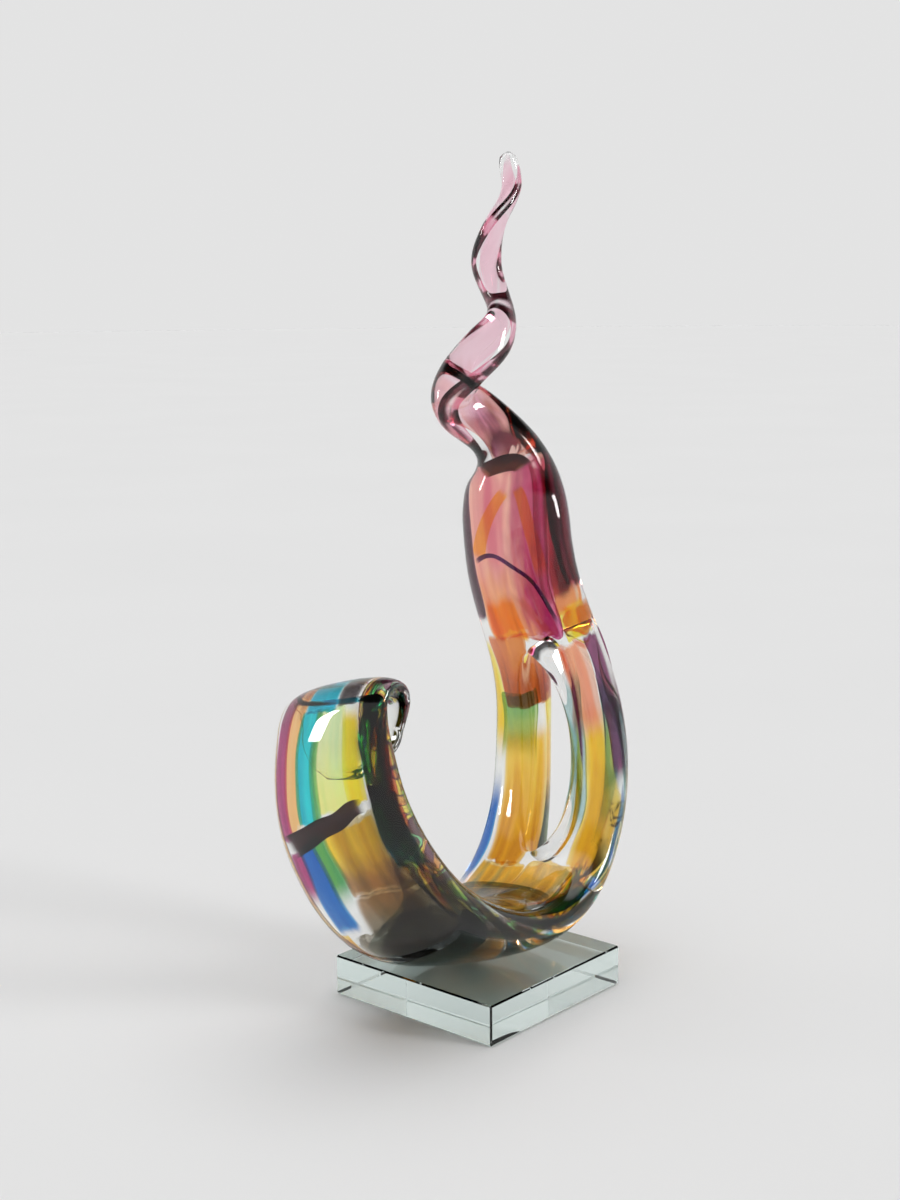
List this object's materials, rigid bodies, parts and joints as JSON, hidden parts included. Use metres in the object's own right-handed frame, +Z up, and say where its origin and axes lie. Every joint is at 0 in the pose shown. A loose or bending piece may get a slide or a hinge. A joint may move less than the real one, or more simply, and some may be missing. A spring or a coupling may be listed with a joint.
{
  "type": "glass wave sculpture",
  "caption": "Free-standing glass wave ornament: a cased, coloured glass ribbon curls, dips and climbs around an eye slot to a twisted tip, bonded to a square clear glass plinth.",
  "frame": {"origin": "centre of the plinth's underside", "axes": "+Z up along the sculpture's height; +X from the rolled curl towards the rising legs, parallel to a plinth side; +Y away from the near edge of the ribbon"},
  "size_m": [0.1941, 0.1, 0.406],
  "materials": {
    "plinth_glass": "clear glass with a slight aqua tint, polished, bevelled",
    "adhesive": "clear cured adhesive film",
    "clear_glass": "clear glass, fire polished",
    "magenta": "transparent magenta glass",
    "apricot": "translucent apricot glass",
    "cyan": "transparent cyan glass",
    "green": "transparent green glass",
    "lime": "translucent pale yellow-green glass",
    "yellow": "transparent yellow glass",
    "plum": "dark plum glass",
    "cobalt": "transparent cobalt blue glass",
    "amber": "transparent amber glass",
    "smoke": "smoky grey-brown glass",
    "teal": "transparent grey-teal glass",
    "ember": "transparent deep orange-red glass",
    "rose": "transparent salmon pink glass",
    "violet": "transparent violet glass",
    "pink": "transparent pale pink glass",
    "straw": "translucent cream-yellow glass",
    "olive": "transparent olive-gold glass"
  },
  "bodies": {
    "root": {"plinth": "plinth_glass", "bond_film": "adhesive", "casing": "clear_glass", "magenta_ribbon": "magenta", "apricot_ribbon": "apricot", "cyan_ribbon": "cyan", "green_thread": "green", "lime_ribbon": "lime", "yellow_ribbon": "yellow", "plum_ribbon": "plum", "cobalt_ribbon": "cobalt", "amber_ribbon": "amber", "smoke_core": "smoke", "far_leg_amber": "amber", "far_leg_green": "green", "far_leg_ember": "ember", "near_leg_teal": "teal", "near_leg_amber": "amber", "near_leg_plum": "plum", "rose_core": "rose", "plum_flank": "plum", "rose_strand": "pink", "magenta_thread": "magenta", "amber_vein_far": "amber", "amber_vein_near": "amber", "violet_trail": "violet", "cyan_cap": "cyan", "smoke_cap": "smoke", "olive_core": "olive", "magenta_trail": "magenta", "green_trail": "green", "smoke_veil": "smoke", "amber_rim": "amber", "amber_saddle": "amber", "amber_saddle_near": "amber", "navy_trail": "cobalt", "far_leg_gold": "yellow", "near_leg_coral": "rose", "olive_edge": "olive", "plum_flank_far": "plum", "amber_knot": "amber", "near_leg_gold": "yellow", "plum_fold": "plum", "cream_trail": "straw", "plum_collar": "plum"}
  },
  "joints": []
}
